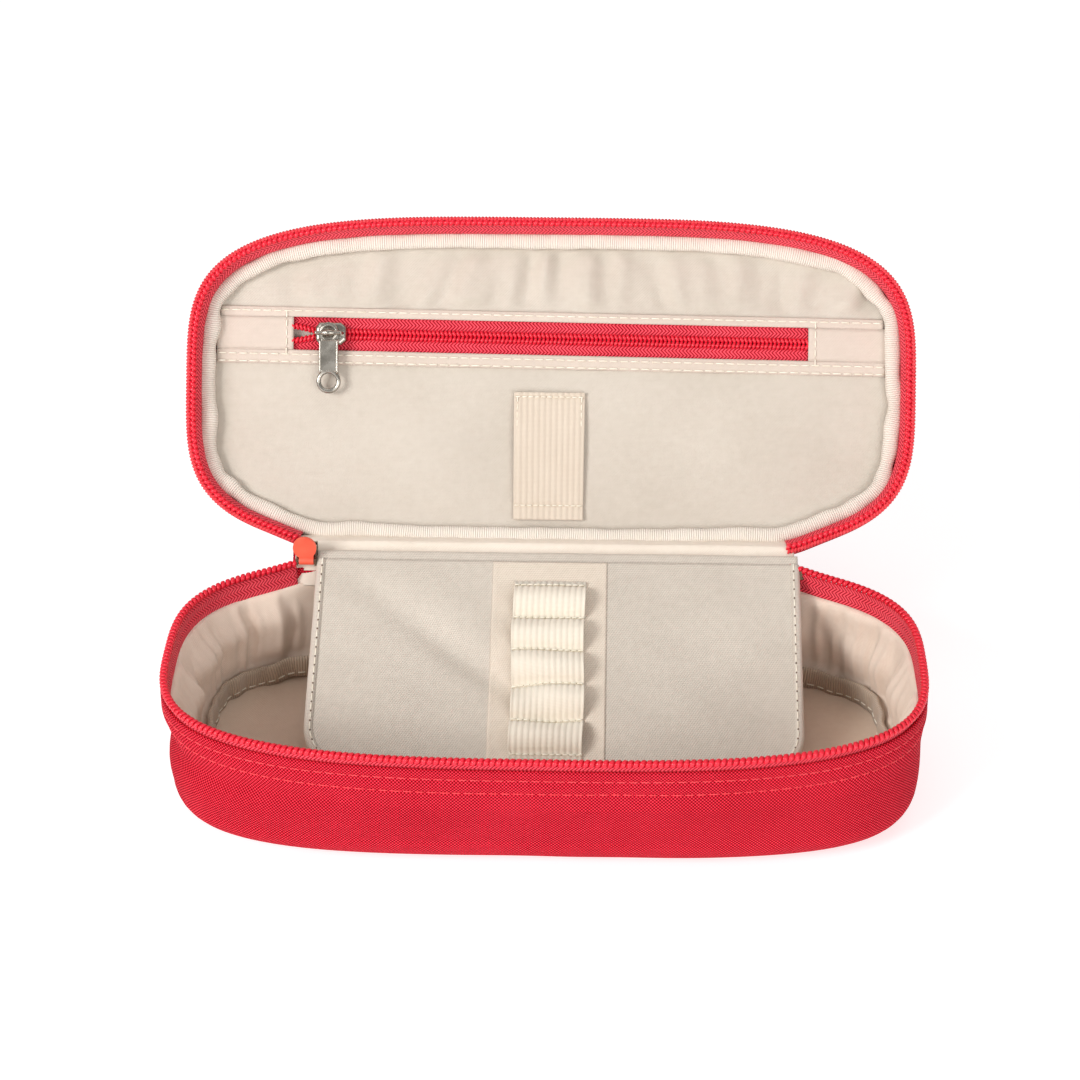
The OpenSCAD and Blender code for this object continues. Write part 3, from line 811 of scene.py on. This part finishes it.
def lid_ring():
    """The padded roll, ribbed across, that dips and bulges a little between its stitches."""
    arc = np.arange(COUNT) / COUNT * 560
    x, _, _ = lid_xv(LID_PHI, 0)
    corner = smooth((np.abs(x) - 70) / 30)
    wave = (0.25 + 0.75 * corner) * ripple(arc, arc * 0, 31, 22)
    size = 1 + (0.06 + 0.13 * corner) * ripple(arc, arc * 0, 32, 12)
    path = lid_at(LID_PHI, 6.15 + 0.75 * wave, 8.3 + 0.3 * ripple(arc, arc * 0, 33, 18))
    turn = np.arange(18) * 2 * math.pi / 18
    shape = np.stack([2.6 * np.sign(np.cos(turn)) * np.abs(np.cos(turn)) ** 0.85, 2.0 * np.sin(turn)], 1)
    rings = sweep(path, np.tile(-LID_OUT, (COUNT, 1)), shape[None] * size[:, None, None], True)
    made = ring_piece("lid_padded_ring", rings, "lid", binding, ("lid_rim_binding",))
    return made


PANEL_W = 10.6
ZIP_V = 69.4
ZIP_SLOPE = -math.tan(math.radians(0.6))


def zip_v(x):
    """Height of the pocket zip's middle, which was sewn a touch lower at its right end."""
    return ZIP_V + (np.asarray(x, float) + 71) * ZIP_SLOPE


def half_width(v, inset):
    """Half the lid's width at height v."""
    b, n = LID_HALF_DEEP, LID_SQUARE
    t = np.clip(np.abs((v - LID_MIDDLE) / (b - inset)), 0, 1)
    return (LID_HALF_WIDE - inset) * (1 - t**n) ** (1 / n)


def panel_grid(v_low, v_high, nx, nv, inset, wave):
    """A grid over the lid's width between two heights (numbers or functions of x)."""
    p = np.linspace(-1, 1, nx)[:, None]
    q = np.linspace(0, 1, nv)[None]
    x = np.broadcast_to(p * 112, (nx, nv))
    for _ in range(3):
        low = v_low(x) if callable(v_low) else v_low
        high = v_high(x) if callable(v_high) else v_high
        v = low + (high - low) * q
        x = 0.2 + p * half_width(v, inset)
    return x, v, PANEL_W + wave(x, v)


def upper_wave(x, v):
    """Soft upright wrinkles that fan out from the pocket zip towards the ring."""
    rise = smooth((v - 76) / 6) * (1 - smooth((v - 93) / 7))
    lean = x + (v - 76) * 0.25 * np.sin(x / 23)
    return -rise * (2.1 * np.maximum(ripple(lean, v, 41, 22, 6), -0.5) + 0.7 * ripple(lean, v, 42, 10, 5))


def lower_wave(x, v):
    slack = np.sin(math.pi * np.clip((v - 8) / 56, 0, 1))
    return -slack * (0.9 * ripple(x, v, 43, 55, 1.3) + 0.8 * bell(x, -60, 40) + 0.6 * bell(x, 62, 42))


def window_top(x):
    return zip_v(x) + 5.3


def window_foot(x):
    return zip_v(x) - 5.3


def lid_panels():
    top_v = LID_MIDDLE + LID_HALF_DEEP - 6.2
    x, v, w = panel_grid(lambda x: window_top(x) + 1.9, top_v, 260, 44, 6.0, upper_wave)
    upper = cloth(
        "pocket_upper_panel", to_world(x, v, w), 0.5, "lid", pocket_cloth,
        ("pocket_upper_panel",),
        uv=np.stack([x, v], 2) * MM,
    )
    x, v, w = panel_grid(5.4, lambda x: window_foot(x) - 1.6, 260, 60, 6.0, lower_wave)
    lower = cloth(
        "pocket_lower_panel", to_world(x, v, w), 0.5, "lid", pocket_cloth,
        ("pocket_lower_panel",),
        uv=np.stack([x, v], 2) * MM,
    )

    # The folded strip round the window: a band over its whole width with the window cut out.
    half = 82.8
    parts = []
    for low, high, x0, x1, count in (
        (lambda x: window_top(x), lambda x: window_top(x) + 3.2, -106.5, 106.8, 240),
        (lambda x: window_foot(x) - 4.6, lambda x: window_foot(x), -107.6, 107.8, 240),
        (lambda x: window_foot(x) - 0.1, lambda x: window_top(x) + 0.1, -107.6, -half, 30),
        (lambda x: window_foot(x) - 0.1, lambda x: window_top(x) + 0.1, half, 107.8, 30),
    ):
        gx = np.linspace(x0, x1, count)[:, None] + np.zeros((1, 9))
        q = np.linspace(0, 1, 9)[None]
        gv = low(gx) + (high(gx) - low(gx)) * q
        puff = 0.1 * ripple(gx, gv * 2, 44, 30) + 0.3 * np.sin(math.pi * q)
        parts.append((gx, gv, PANEL_W - 0.65 - puff))
    names = ("pocket_strip_top", "pocket_strip_foot", "pocket_strip_left", "pocket_strip_right")
    pieces = []
    for name, (gx, gv, gw) in zip(names, parts):
        stands = ("pocket_end_patches",) if name == "pocket_strip_left" else ()
        made = cloth(
            name, to_world(gx, gv, gw), 0.5, "lid", pink_cloth, stands,
            uv=np.stack([gx, gv], 2) * MM,
        )
        pieces.append(made)
    seams = Tubes()
    for edge, offset, x0, x1 in (
        (window_top, 1.9, -106, 106), (window_foot, -1.5, -107, 107), (window_foot, -3.9, -107, 107),
    ):
        gx = np.linspace(x0, x1, 200)
        seams.stitches(to_world(gx, edge(gx) + offset, PANEL_W - 1.05), -LID_OUT, 2.5, 0.9, 0.23)
    for x0 in (-half - 2.2, half + 2.2):
        gv = np.linspace(window_foot(x0) - 1.5, window_top(x0) + 1.9, 20)
        seams.stitches(to_world(x0, gv, PANEL_W - 1.05), -LID_OUT, 2.3, 0.9, 0.23)
    seams.piece("pocket_stitches", "lid", thread, "thread")
    return lower, pieces[:2]


def pocket_zip():
    """The pocket's zip: two tapes and two coils, parted left of the slider."""
    half = 82.8
    tapes = []
    for side, name in ((1, "pocket_upper"), (-1, "pocket_lower")):
        gx = np.linspace(-half - 3, half + 3, 160)
        apart = 0.35 + 1.5 * smooth((-74 - gx) / 9)
        q = np.linspace(0, 1, 8)
        edge = apart[:, None] + (7.4 - apart[:, None]) * q[None]
        grid = to_world(
            gx[:, None], zip_v(gx)[:, None] + side * edge, PANEL_W + 0.75 - 0.25 * (1 - q)[None],
        )
        order = grid if side > 0 else grid[:, ::-1]
        strip = cloth(name + "_tape", order, 0.5, "lid", tape, (name + "_tape",))
        tapes.append(strip)
        gx = np.linspace(-half - 0.5, half + 0.5, 500)
        apart = 0.9 + 1.4 * smooth((-74 - gx) / 9)
        axis = to_world(gx, zip_v(gx) + side * apart, PANEL_W - 0.05)
        teeth = Tubes()
        up = to_world(0, 1, 0) - to_world(0, 0, 0)
        teeth_on(teeth, axis, np.tile(side * up, (500, 1)), -LID_OUT, 1.3, 0.75, 0.46, 12)
        teeth.add(axis, -LID_OUT, 0.4)
        teeth.piece(name + "_coil", "lid", coil, "zip_coil", (name + "_coil",))
    gx = np.linspace(-half - 4, half + 4, 40)
    q = np.linspace(-1, 1, 6)
    grid = to_world(gx[:, None], zip_v(gx)[:, None] + 7 * q[None], PANEL_W + 2.2)
    back = cloth("pocket_inner_cloth", grid, 0.4, "lid", flap_cloth)
    return tapes


def ribs(x, pitch, depth):
    return depth * np.abs(np.cos(math.pi * x / pitch))


def lid_strap():
    width, v0, v1 = 22.4, 10.4, 51.4
    p = np.linspace(-0.5, 0.5, 85)[:, None] * width
    v = np.linspace(v0, v1, 70)[None]
    lift = 0.5 * np.sin(math.pi * np.clip((v - 15) / 34, 0, 1)) ** 0.7
    sewn = 0.35 * (bell(v, 49.8, 0.6) + bell(v, 15, 0.6))
    rolled = smooth((np.abs(p) - width / 2 + 0.8) / 0.8)
    w = PANEL_W - 1.35 - lift + sewn - ribs(p, width / 12, 0.32) + 0.25 * rolled
    x = p * (1 + 0.02 * (v - v0) / (v1 - v0)) + 0 * v
    grid = to_world(x, v + 0 * p, w)
    made = cloth(
        "lid_elastic_strap", grid, 0.8, "lid", strap_elastic, ("lid_elastic_strap",),
        uv=np.stack([x, v + 0 * p], 2) * MM,
    )
    seams = Tubes()
    for at in (49.9, 15.0):
        gx = np.linspace(-10.8, 10.8, 30)
        seams.stitches(to_world(gx, at + 0 * gx, PANEL_W - 1.6), -LID_OUT, 1.5, 0.6, 0.2)
    for gx in (-10.3, 10.3):
        v = np.linspace(40.5, 50, 12)
        seams.stitches(to_world(gx, v, PANEL_W - 1.75), -LID_OUT, 1.6, 0.7, 0.18)
    seams.piece("lid_strap_stitches", "lid", thread, "thread", ("lid_strap_bartacks",))
    return made


lid_cloth, _ = lid_shell()
lid_tape, _ = lid_zip()
lid_ring()
lower_panel, window_strips = lid_panels()
window_tapes = pocket_zip()
lid_strap()


# ---- cloth hinge ---------------------------------------------------------------------


def cloth_hinge():
    """Canvas outside and cream lining inside, each bending round the hinge line."""
    gx = np.linspace(-81, 78, 160)
    turn = np.radians(np.linspace(-118, -16, 22))
    sag = 0.25 * ripple(gx[:, None], turn[None] * 8, 51, 40)
    radius = 4.3 + sag + 5.0 * smooth((-98 - np.degrees(turn)) / 20)[None] * 0.4
    back = -3.4 * smooth((np.abs(gx) - 60) / 18)[:, None]
    grid = np.stack(
        [
            gx[:, None] + 0 * radius,
            AXIS_Y - 0.1 + radius * np.cos(turn)[None] + 0.9 * back * 0.6,
            AXIS_Z + radius * np.sin(turn)[None] + 0 * gx[:, None],
        ],
        2,
    )
    outer = cloth(
        "hinge_canvas", grid[:, ::-1], 0.9, None, canvas,
        ("base_hinge_canvas", "lid_hinge_canvas"),
    )
    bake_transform(outer)

    profile = np.array(
        [
            (48.0, 34.0), (49.0, 36.5), (50.0, 38.8), (51.2, 40.4), (52.9, 41.7), (54.6, 42.5),
            (56.5, 43.2), (59.0, 43.9), (61.5, 44.1), (63.6, 43.6),
        ]
    )
    s = np.concatenate([[0], np.cumsum(np.linalg.norm(np.diff(profile, axis=0), axis=1))])
    at = np.linspace(0, s[-1], 40)
    y, z = np.interp(at, s, profile[:, 0]), np.interp(at, s, profile[:, 1])
    gx = np.linspace(-80, 78.5, 200)
    wave = 0.22 * ripple(gx[:, None], at[None] * 3, 52, 22)
    pipe = 0.9 * bell(at, s[-1] - 4.8, 1.9)
    grid = np.stack(
        [gx[:, None] + 0 * y[None], y[None] - (wave + pipe) * 0.6, z[None] + (wave + pipe) * 0.8], 2,
    )
    inner = cloth(
        "hinge_lining", grid, 0.8, None, strip_cloth, ("base_hinge_lining", "lid_hinge_lining"),
    )
    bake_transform(inner)


cloth_hinge()


# ---- divider flap --------------------------------------------------------------------

FLAP_HALF, FLAP_LONG, FLAP_ROUND = 76.0, 76.0, 16.0


def flap_half(s):
    over = np.clip(s - (FLAP_LONG - FLAP_ROUND), 0, FLAP_ROUND)
    return FLAP_HALF - FLAP_ROUND + np.sqrt(np.maximum(FLAP_ROUND**2 - over**2, 0))


def flap_bend(x, s):
    """Soft sag between the hinge and the free edge, with a shallow slanting fold."""
    slack = np.sin(math.pi * np.clip(s / FLAP_LONG, 0, 1))
    run = x + 72 - 1.25 * s
    slant = bell(run, 0, 8) - 0.55 * bell(run, 19, 12) + 0.45 * bell(x - 0.8 * (s - 30), 46, 14)
    return slack * (1.0 * ripple(x, s, 61, 80) - 2.1 * slant) + 0.2 * ripple(x, s, 62, 20) * slack


def flap_sheet(name, h, sign, stands_for):
    turn = np.linspace(0, math.pi / 2, 26)[1:]
    s = np.concatenate([np.linspace(0.2, 58, 60), FLAP_LONG - FLAP_ROUND * (1 - np.sin(turn))])
    p = np.linspace(-1, 1, 150)[:, None]
    x = p * flap_half(s)[None] * 0.994
    s = np.broadcast_to(s[None], x.shape)
    grid = flap_at(x, s, flap_bend(x, s) + h)
    uv = np.stack([x, s], 2) * MM
    if sign > 0:
        grid, uv = grid[:, ::-1], uv[:, ::-1]
    made = cloth(name, grid, 0.5, "flap", flap_cloth, stands_for, uv=uv)
    return made


def flap_edge():
    """The flap's edge from the hinge down one side, round the corners and up the other."""
    side = np.linspace(0.3, FLAP_LONG - FLAP_ROUND, 60)
    turn = np.linspace(0, math.pi / 2, 24)[1:-1]
    inner, foot = FLAP_HALF - FLAP_ROUND, FLAP_LONG - FLAP_ROUND
    run = np.linspace(-inner, inner, 110)
    across, down = FLAP_ROUND * np.cos(turn), FLAP_ROUND * np.sin(turn)
    x = np.concatenate([np.full(60, -FLAP_HALF), -inner - across, run, inner + down, np.full(60, FLAP_HALF)])
    s = np.concatenate([side, foot + down, np.full(110, FLAP_LONG), foot + across, side[::-1]])
    return x, s


def inward(x, s, d):
    """Points of the flap's edge line moved in by d."""
    inner, foot = FLAP_HALF - FLAP_ROUND, FLAP_LONG - FLAP_ROUND
    cx, cs = np.clip(x, -inner, inner), np.minimum(s, foot)
    dx, ds = x - cx, s - cs
    long = np.maximum(np.hypot(dx, ds), 1e-6)
    return x - d * dx / long, s - d * ds / long


def flap_pieces():
    front = flap_sheet("flap_front_cloth", 1.0, 1, ("flap_front_cloth", "flap_stiffener"))
    back = flap_sheet("flap_back_cloth", -1.0, -1, ("flap_back_cloth",))
    x, s = flap_edge()
    rows = []
    for d, h in (
        (2.3, 1.05), (2.25, 1.45), (1.3, 1.6), (0.4, 1.5), (-0.15, 1.0), (-0.4, 0.3), (-0.4, -0.4),
        (-0.1, -1.1), (0.5, -1.5), (1.4, -1.6), (2.3, -1.45), (2.3, -1.05),
    ):
        ix, js = inward(x, s, d)
        rows.append(flap_at(ix, js, flap_bend(ix, js) + h))
    rings = np.stack(rows, 1)
    ring_piece("flap_hem", rings, "flap", hem_cloth, (), closed_path=False)
    seams = Tubes()
    ix, js = inward(x, s, 1.55)
    seams.stitches(flap_at(ix, js, flap_bend(ix, js) + 1.62), FLAP_UP, 2.3, 1.0, 0.22)
    seams.piece("flap_hem_stitches", "flap", thread, "thread")
    # short dark tubes sunk at the stitch ends: painted shade in the needle holes
    holes = Tubes()
    length = np.concatenate([[0], np.cumsum(np.hypot(np.diff(ix), np.diff(js)))])
    number = round((length[-1] + 1) / 3.3)
    at = np.arange(1, number) * (length[-1] + 1) / number - 0.5
    for hx, hs in zip(np.interp(at, length, ix), np.interp(at, length, js)):
        spot = flap_at(hx, hs, flap_bend(hx, hs) + np.array([1.45, 1.63]))
        holes.add(spot, [1, 0, 0], 0.3)
    holes.piece("flap_needle_holes", "flap", needle_hole_shade, "thread")

    bx = np.linspace(-18, 18, 60)[:, None] - 2.3
    bs = np.linspace(0.6, 75, 110)[None]
    gx, gs = bx + 0 * bs, bs + 0 * bx
    fold = 0.12 * bell(np.abs(bx + 2.3), 17.4, 0.7)
    band = cloth(
        "flap_centre_band", flap_at(gx, gs, flap_bend(gx, gs) + 1.2 + fold)[:, ::-1], 0.3, "flap",
        band_cloth,
        ("flap_reinforcement",), uv=np.stack([gx, gs], 2)[:, ::-1] * MM,
    )
    return front, back


def flap_top():
    """The sewn-in top of the flap, which bends between the tray and the flap."""
    profile = np.array(
        [(54.4, 42.4), (54.2, 43.5), (53.2, 43.9), (52.0, 43.6), (51.0, 43.1), (50.1, 42.7), (49.2, 42.4)]
    )
    s = np.concatenate([[0], np.cumsum(np.linalg.norm(np.diff(profile, axis=0), axis=1))])
    at = np.linspace(0, s[-1], 16)
    gx = np.linspace(-72.6, 79.4, 160)[:, None] + 0 * at[None]
    y = np.interp(at, s, profile[:, 0])[None] + 0 * gx
    waves = ripple(gx, at[None] * 3, 63, 25)
    z = np.interp(at, s, profile[:, 1])[None] + 0.1 * waves + 0.12 * bell(at, 2.6, 0.8)[None]
    uv = np.stack([gx, at[None] + 0 * gx], 2) * MM
    made = cloth(
        "flap_top_fold", np.stack([gx, y, z], 2)[:, ::-1], 0.6, None, flap_cloth, uv=uv[:, ::-1],
    )
    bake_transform(made)
    return made


def flap_loops():
    """One ribbed elastic sewn down between five arches, with a thread row over each seam."""
    width, pitch, first = 22.4, 12.0, 9.6
    s_path, h_path = [first - 1.4], [1.8]
    for i in range(5):
        t = np.linspace(0, 1, 19)
        arch = (1 - (2 * t - 1) ** 2) ** 0.62
        s_path += list(first + i * pitch + 0.7 + (pitch - 1.4) * (t + 0.03 * np.sin(2 * math.pi * t)))
        h_path += list(1.8 + 4.0 * arch * (1 + 0.05 * math.sin(i * 2.1)))
    s_path.append(first + 5 * pitch + 1.4)
    h_path.append(1.8)
    s_path, h_path = np.array(s_path), np.array(h_path)
    p = np.linspace(-0.5, 0.5, 73)[:, None] * width
    x = p - 2.3 + 0.25 * np.sin(s_path / 6.3)[None]
    slope = np.gradient(h_path, s_path)
    nh = 1 / np.sqrt(1 + slope**2)
    rib = ribs(p, width / 12, 0.3)
    s = s_path[None] - rib * (slope * nh)[None]
    h = h_path[None] + rib * nh[None] + flap_bend(x, s_path[None])
    along = np.concatenate([[0], np.cumsum(np.hypot(np.diff(s_path), np.diff(h_path)))])
    uv = np.stack([p + 0 * s, along[None] + 0 * p], 2) * MM
    made = cloth(
        "flap_elastic_loops", flap_at(x, s, h)[:, ::-1], 0.8, "flap", elastic,
        ("flap_elastic_loops",),
        uv=uv[:, ::-1],
    )
    seams = Tubes()
    for i in range(6):
        gx = np.linspace(-10.9, 10.9, 30) - 2.3
        gs = first + i * pitch + 0 * gx
        seams.stitches(flap_at(gx, gs, flap_bend(gx, gs) + 2.2), FLAP_UP, 1.5, 0.5, 0.26)
    gs = np.linspace(first + 57.5, first + 60, 6)
    for gx in (-10.8, 10.8):
        seams.stitches(flap_at(gx - 2.3, gs, flap_bend(gx - 2.3, gs) + 2.2), FLAP_UP, 1.4, 0.5, 0.22)
    seams.piece("flap_loop_stitches", "flap", thread, "thread", ("flap_loop_bartacks",))
    return made


flap_front, flap_back = flap_pieces()
flap_fold = flap_top()
flap_loops()


# ---- pocket slider and tab -----------------------------------------------------------


def slider_details():
    """Rounded bridge over the slider, and the raised rims of its pull tab."""
    u0, v0, w0 = -71.0, ZIP_V, 4.3
    t = np.linspace(0, math.pi, 33)
    bridge = Tubes()
    u = u0 - 4.1 * np.cos(t)
    w = 8.5 - 4.2 * np.sin(t) ** 0.5
    path = to_world(u, v0 + 0 * t, w)
    bridge.add(path, to_world(0, 1, 0) - to_world(0, 0, 0), 0.62 + 0.5 * bell(np.cos(t), 0, 0.42), sides=12)
    upper = np.array([(5.4, 2.2), (3.6, 3.7), (-3.9, 3.7), (-5.2, 1.9)])
    outline = np.concatenate([upper[::-1] * (1, -1), upper])
    corners = np.concatenate([outline, outline[:1]])
    ring = np.concatenate([np.linspace(a, b, 9)[:-1] for a, b in zip(corners[:-1], corners[1:])])
    shares = np.array([1.0, 1.02, 1.0, 0.93, 0.8, 0.5, 0.02])
    depths = np.array([9.5, 9.0, 8.5, 8.15, 8.0, 7.95, 7.95])
    plate = to_world(
        u0 + 0.3 + ring[:, :1] * shares * 0.92, v0 + ring[:, 1:] * shares * 0.95, depths[None]
    )
    n = len(ring)
    faces, places = grid_faces(n, len(shares), True)
    uv = np.stack(np.meshgrid(np.arange(n + 1), np.arange(len(shares)), indexing="ij"), 2) * 0.0008
    made = piece(
        "pocket_slider_cover", plate.reshape(-1, 3), faces, uv[places[..., 0], places[..., 1]],
        "pocket_slider",
        nickel,
    )
    bridge.piece("pocket_slider_bridge", "pocket_slider", nickel, "nickel")

    lean = math.radians(5)

    def tab(u, v, w):
        """Tab places, level with its axis, leaned the way the tab hangs."""
        v, w = np.broadcast_arrays(np.asarray(v, float), np.asarray(w, float))
        return to_world(
            u0 + u, v0 + v * math.cos(lean) + w * math.sin(lean),
            w0 + w * math.cos(lean) - v * math.sin(lean),
        )

    front = tab(0, 0, -1) - tab(0, 0, 0)
    rims = Tubes()
    turn = np.linspace(0, 2 * math.pi, 49)[:-1]
    for centre, r, wire in ((0.2, 2.5, 0.62), (-15.6, 3.2, 0.75)):
        rims.add(tab(r * np.cos(turn), centre + r * np.sin(turn), 1.3), front, wire, sides=10, closed=True)
    v = np.linspace(-2.0, -13.2, 12)
    for side in (-1, 1):
        rims.add(tab(side * (2.75 + 0 * v), v, 0.85), front, 0.38, sides=8)
    u = np.linspace(-2.6, 2.6, 8)
    for at in (-2.4, -12.3):
        rims.add(tab(u, at, 0.85), front, 0.32, sides=8)
    rims.piece("pocket_tab_rims", "pocket_tab", nickel, "nickel")
    return made


slider_details()


# ---- hard parts that keep their CAD mesh ---------------------------------------------

for name, material, width in (
    ("main_slider_body", nickel, 0.22),
    ("main_zip_end_stop", nickel, 0.18),
    ("pocket_slider_body", nickel, 0.2),
    ("pocket_pull_tab", nickel, 0.22),
    ("pocket_zip_stops", nickel, 0.15),
    ("main_pull_tag", rubber, 0.3),
):
    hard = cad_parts[name]
    hard.data.materials.clear()
    hard.data.materials.append(material)
    bevel = hard.modifiers.new("soft_edges", "BEVEL")
    bevel.width, bevel.segments, bevel.limit_method = width * MM, 3, "ANGLE"
    bevel.angle_limit = math.radians(40)
    bevel.harden_normals = False


# ---- stage, light and camera ---------------------------------------------------------


def stage_floor():
    mesh = bpy.data.meshes.new("floor")
    mesh.from_pydata([(-5, -5, 0), (5, -5, 0), (5, 5, 0), (-5, 5, 0)], [], [(0, 1, 2, 3)])
    floor = bpy.data.objects.new("floor", mesh)
    floor.location.z = -0.0006
    pale = Shader(
        "pale_floor", (0.6, 0.6, 0.6, 1), 0.9, Emission_Color=(1, 1, 1, 1), Emission_Strength=0.66,
    )
    mesh.materials.append(pale.material)
    bpy.context.scene.collection.objects.link(floor)


def softbox(name, place, aim, width, height, power):
    light = bpy.data.lights.new(name, "AREA")
    light.shape, light.size, light.size_y, light.energy = "RECTANGLE", width, height, power
    made = bpy.data.objects.new(name, light)
    made.location = place
    made.rotation_euler = (Vector(aim) - Vector(place)).to_track_quat("-Z", "Y").to_euler()
    bpy.context.scene.collection.objects.link(made)


stage_floor()
softbox("key_light", (-1.05, -0.95, 0.78), (0, 0, 0.07), 0.6, 0.6, 17.5)
softbox("front_fill", (0.6, -1.35, 0.42), (0, 0, 0.05), 1.0, 0.6, 8.5)
softbox("top_light", (0.1, 0.15, 1.4), (0, 0.02, 0.05), 1.2, 1.0, 3)

world = bpy.data.worlds.new("studio")
world.use_nodes = True
world.node_tree.nodes["Background"].inputs["Color"].default_value = (1, 0.995, 0.985, 1)
world.node_tree.nodes["Background"].inputs["Strength"].default_value = 0.4
bpy.context.scene.world = world
bpy.context.scene.view_settings.view_transform = "Standard"

camera_data = bpy.data.cameras.new("camera")
camera_data.lens, camera_data.sensor_width = 90.5, 36.0
camera = bpy.data.objects.new("camera", camera_data)
camera.location = (0.0176, -0.6906, 0.4784)
camera.rotation_euler = (
    Vector((-0.0008, 0.002, 0.0784)) - camera.location
).to_track_quat("-Z", "Y").to_euler()
bpy.context.scene.collection.objects.link(camera)
bpy.context.scene.camera = camera
